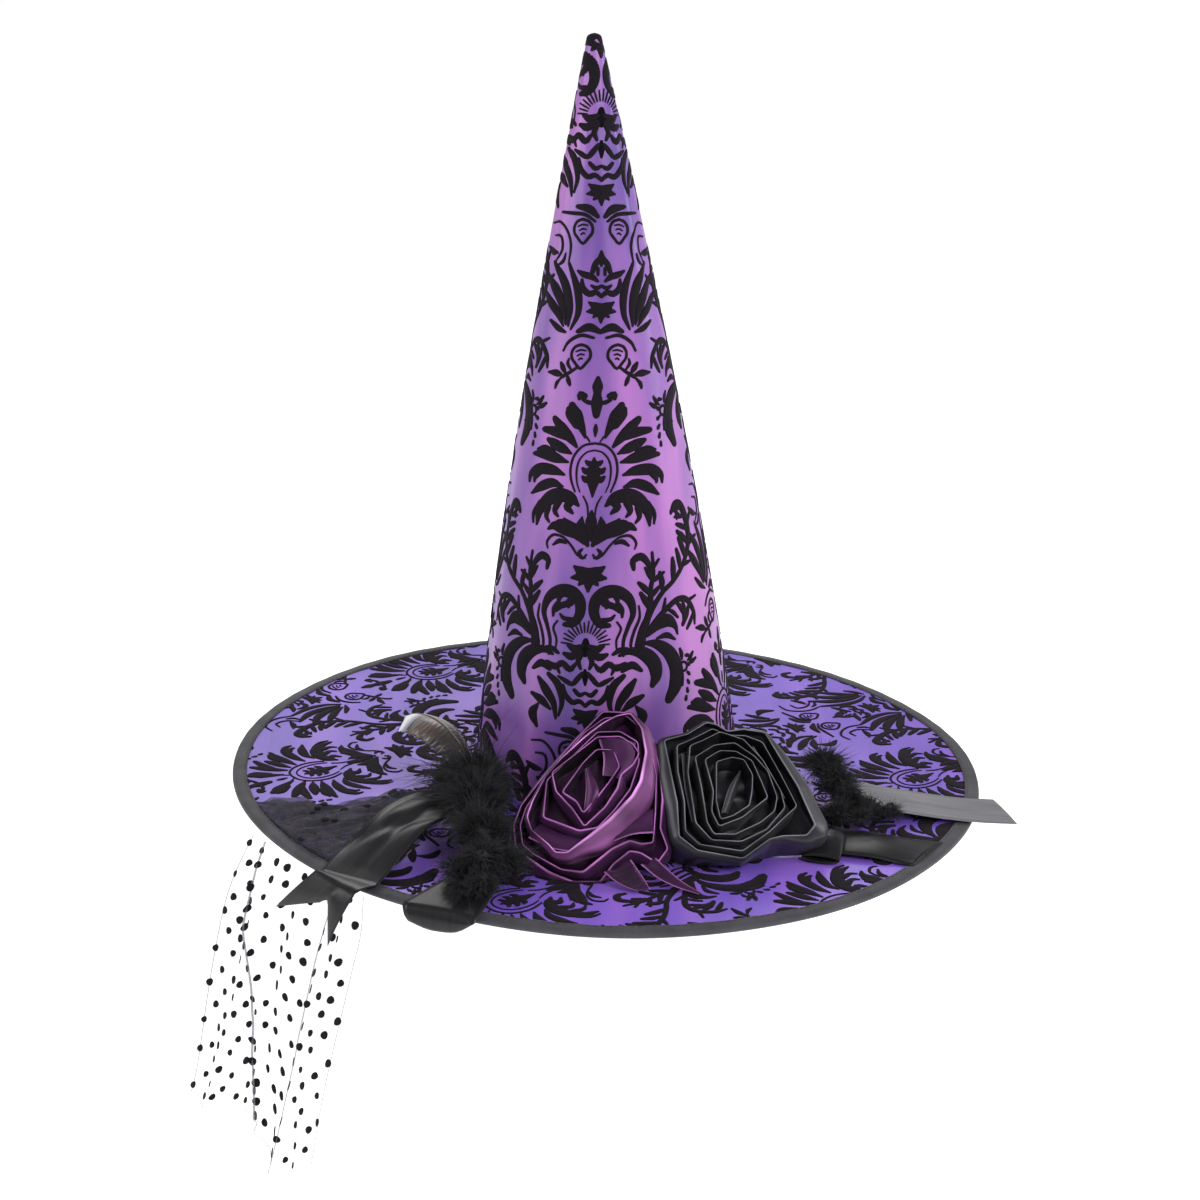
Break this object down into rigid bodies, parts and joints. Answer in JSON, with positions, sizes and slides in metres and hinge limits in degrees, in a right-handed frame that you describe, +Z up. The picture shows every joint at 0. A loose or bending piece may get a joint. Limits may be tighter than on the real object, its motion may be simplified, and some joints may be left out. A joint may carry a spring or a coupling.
{
  "type": "witch hat",
  "caption": "Tall leaning cone hat on a wired round brim, in damask cloth, trimmed in front with ribbon roses, marabou, a feather, satin ribbon ends and a dotted tulle veil.",
  "frame": {"origin": "centre of the round head opening, on the underside of the brim", "axes": "+Z up out of the crown; the trimmed front faces -Y; +X is to the left of the wearer, which is the viewer's right"},
  "size_m": [0.5224, 0.5, 0.662],
  "materials": {
    "damask_crown": "pink-violet satin with a raised black flock damask",
    "damask_brim": "blue-violet satin with a raised black flock damask",
    "stiffener": "stiff millinery board, matt",
    "lining": "plain black woven lining",
    "binding_tape": "charcoal bias tape, machine stitched",
    "hoop_wire": "millinery wire",
    "sweatband_ribbon": "ribbed grosgrain",
    "felt": "felt",
    "plum_satin": "dark plum satin ribbon with lilac highlights",
    "black_satin": "black satin ribbon",
    "marabou": "fine black down",
    "feather": "glossy dark brown cock feather",
    "quill": "horn-like quill",
    "tulle": "sheer black net with flock dots",
    "thread": "sewing thread"
  },
  "bodies": {
    "hat": {"crown_cover": "damask_crown", "crown_board": "stiffener", "crown_lining": "lining", "brim_top_cover": "damask_brim", "brim_board": "stiffener", "brim_under_cover": "lining", "brim_binding": "binding_tape", "brim_wire": "hoop_wire", "sweatband": "sweatband_ribbon", "purple_rose_pad": "felt", "purple_rose_petals": "plum_satin", "purple_rose_core": "plum_satin", "purple_rose_ribbon_end": "plum_satin", "black_rose_pad": "felt", "black_rose_petals": "black_satin", "black_rose_core": "black_satin", "marabou_left": "marabou", "marabou_right": "marabou", "marabou_cord": "marabou", "feather_vane": "feather", "feather_quill": "quill", "veil_gather": "tulle", "left_ribbon": "black_satin", "right_ribbon_loop": "black_satin", "thread_tacks": "thread"},
    "veil": {"veil_drop": "tulle"},
    "left_tail": {"left_ribbon_tail": "black_satin"},
    "front_tail": {"front_ribbon_tail": "black_satin"},
    "right_upper": {"right_ribbon_upper": "black_satin"},
    "right_lower": {"right_ribbon_lower": "black_satin"}
  },
  "joints": [
    {"name": "veil_swing", "type": "hinge", "parent": "hat", "child": "veil", "pos_m": [-0.18219, -0.1741, 0.003], "axis": [-0.6909, 0.723, 0], "range_deg": [-20, 75]},
    {"name": "left_tail_swing", "type": "hinge", "parent": "hat", "child": "left_tail", "pos_m": [-0.18219, -0.1741, 0.003], "axis": [-0.6909, 0.723, 0], "range_deg": [-20, 75]},
    {"name": "front_tail_swing", "type": "hinge", "parent": "hat", "child": "front_tail", "pos_m": [-0.08892, -0.23782, 0.003], "axis": [-0.9367, 0.3502, 0], "range_deg": [-20, 70]},
    {"name": "right_upper_lift", "type": "hinge", "parent": "hat", "child": "right_upper", "pos_m": [0.178, -0.066, 0.013], "axis": [-0.0174, -0.9998, 0], "range_deg": [0, 45]},
    {"name": "right_lower_lift", "type": "hinge", "parent": "hat", "child": "right_lower", "pos_m": [0.152, -0.122, 0.0064], "axis": [-0.225, -0.9744, 0], "range_deg": [0, 40]}
  ],
  "couplings": [
    {"joint": "left_tail_swing", "follows": "veil_swing", "ratio": 1}
  ]
}
